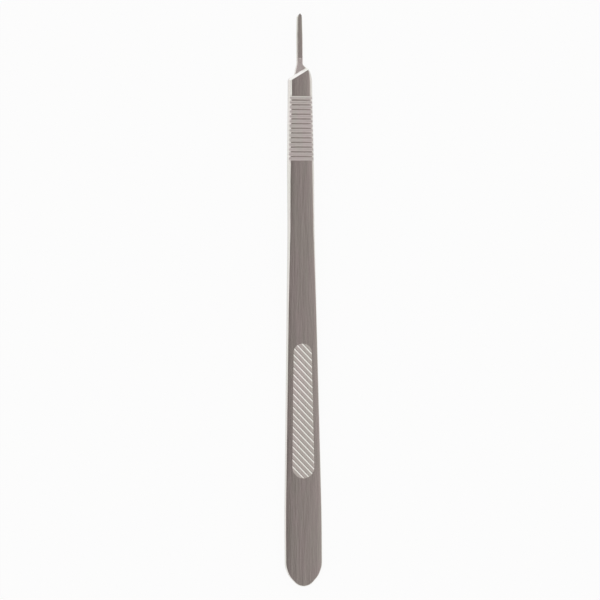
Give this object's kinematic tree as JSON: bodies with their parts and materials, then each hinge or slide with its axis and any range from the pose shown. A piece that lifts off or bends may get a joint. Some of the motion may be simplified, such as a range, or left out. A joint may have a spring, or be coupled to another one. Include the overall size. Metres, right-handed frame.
{
  "type": "scalpel handle",
  "caption": "Long flat steel surgical knife handle with a rounded tail, a tapering body, a grooved grip and an undercut blade fitting.",
  "frame": {"origin": "middle of the handle's length and width, on the surface it lies on", "axes": "+Y along the handle from the rounded tail towards the blade fitting, +Z out of the front face with the boss, +X to the right when the front face is seen with the blade fitting up"},
  "size_m": [0.0138, 0.212, 0.0043],
  "materials": {
    "steel": "satin, brushed lengthwise"
  },
  "bodies": {
    "root": {"handle": "steel"}
  },
  "joints": []
}
